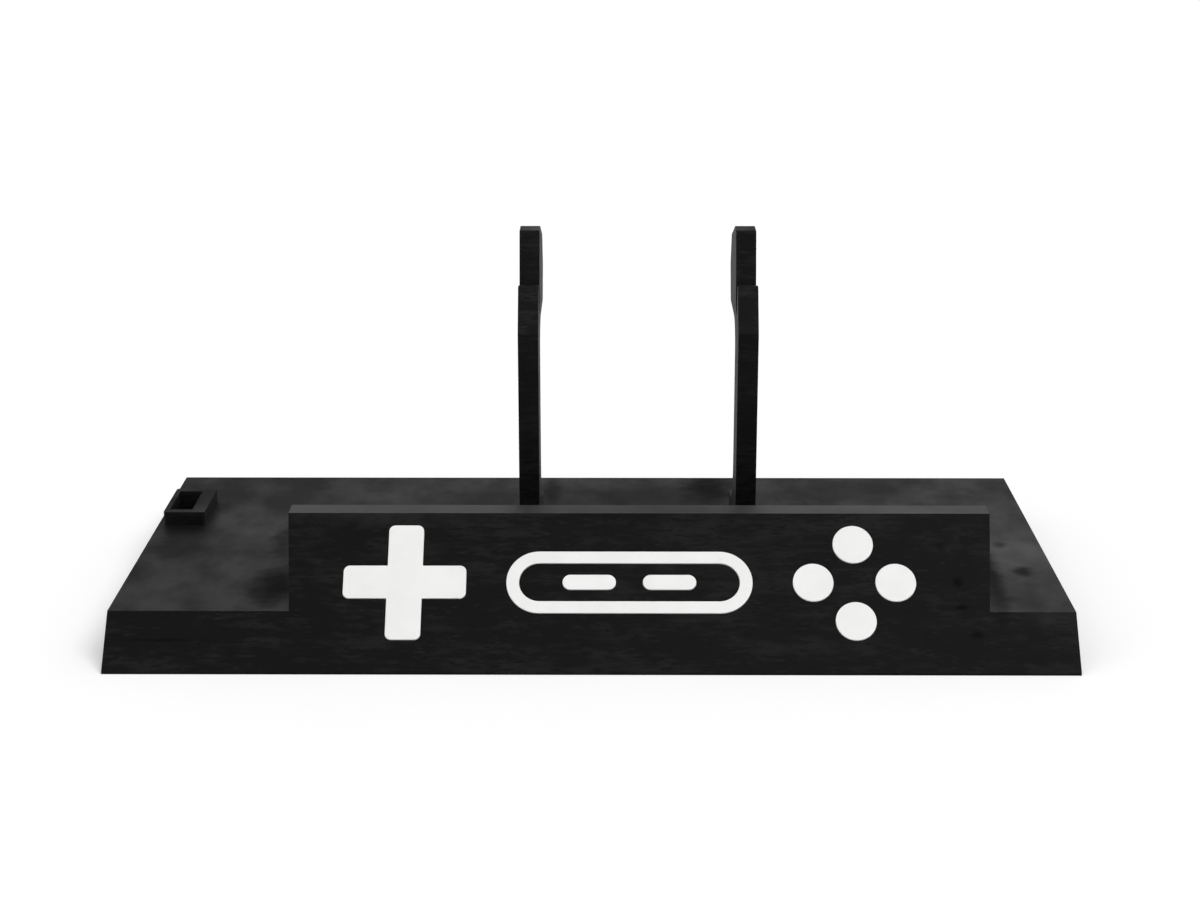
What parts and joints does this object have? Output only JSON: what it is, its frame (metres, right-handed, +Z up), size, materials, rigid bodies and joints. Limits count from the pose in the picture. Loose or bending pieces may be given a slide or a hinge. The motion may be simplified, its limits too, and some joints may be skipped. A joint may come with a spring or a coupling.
{
  "type": "controller stand",
  "caption": "Low desk stand for a game controller, with a sloped front panel, upright notched arms and a small plug holder at the rear.",
  "frame": {"origin": "middle of the base's underside, on the table", "axes": "+X along the width to the right as seen from the front, +Y from the front to the rear, +Z up"},
  "size_m": [0.18, 0.091, 0.0714],
  "materials": {
    "black_print": "black printed plastic, satin on top, with fine level streaks on the upright faces",
    "white_print": "matte white printed plastic"
  },
  "bodies": {
    "root": {"base": "black_print", "left_arm": "black_print", "right_arm": "black_print", "cross_inlay": "white_print", "ring_inlay": "white_print", "left_key_inlay": "white_print", "right_key_inlay": "white_print", "top_dot_inlay": "white_print", "right_dot_inlay": "white_print", "bottom_dot_inlay": "white_print", "left_dot_inlay": "white_print"}
  },
  "joints": []
}
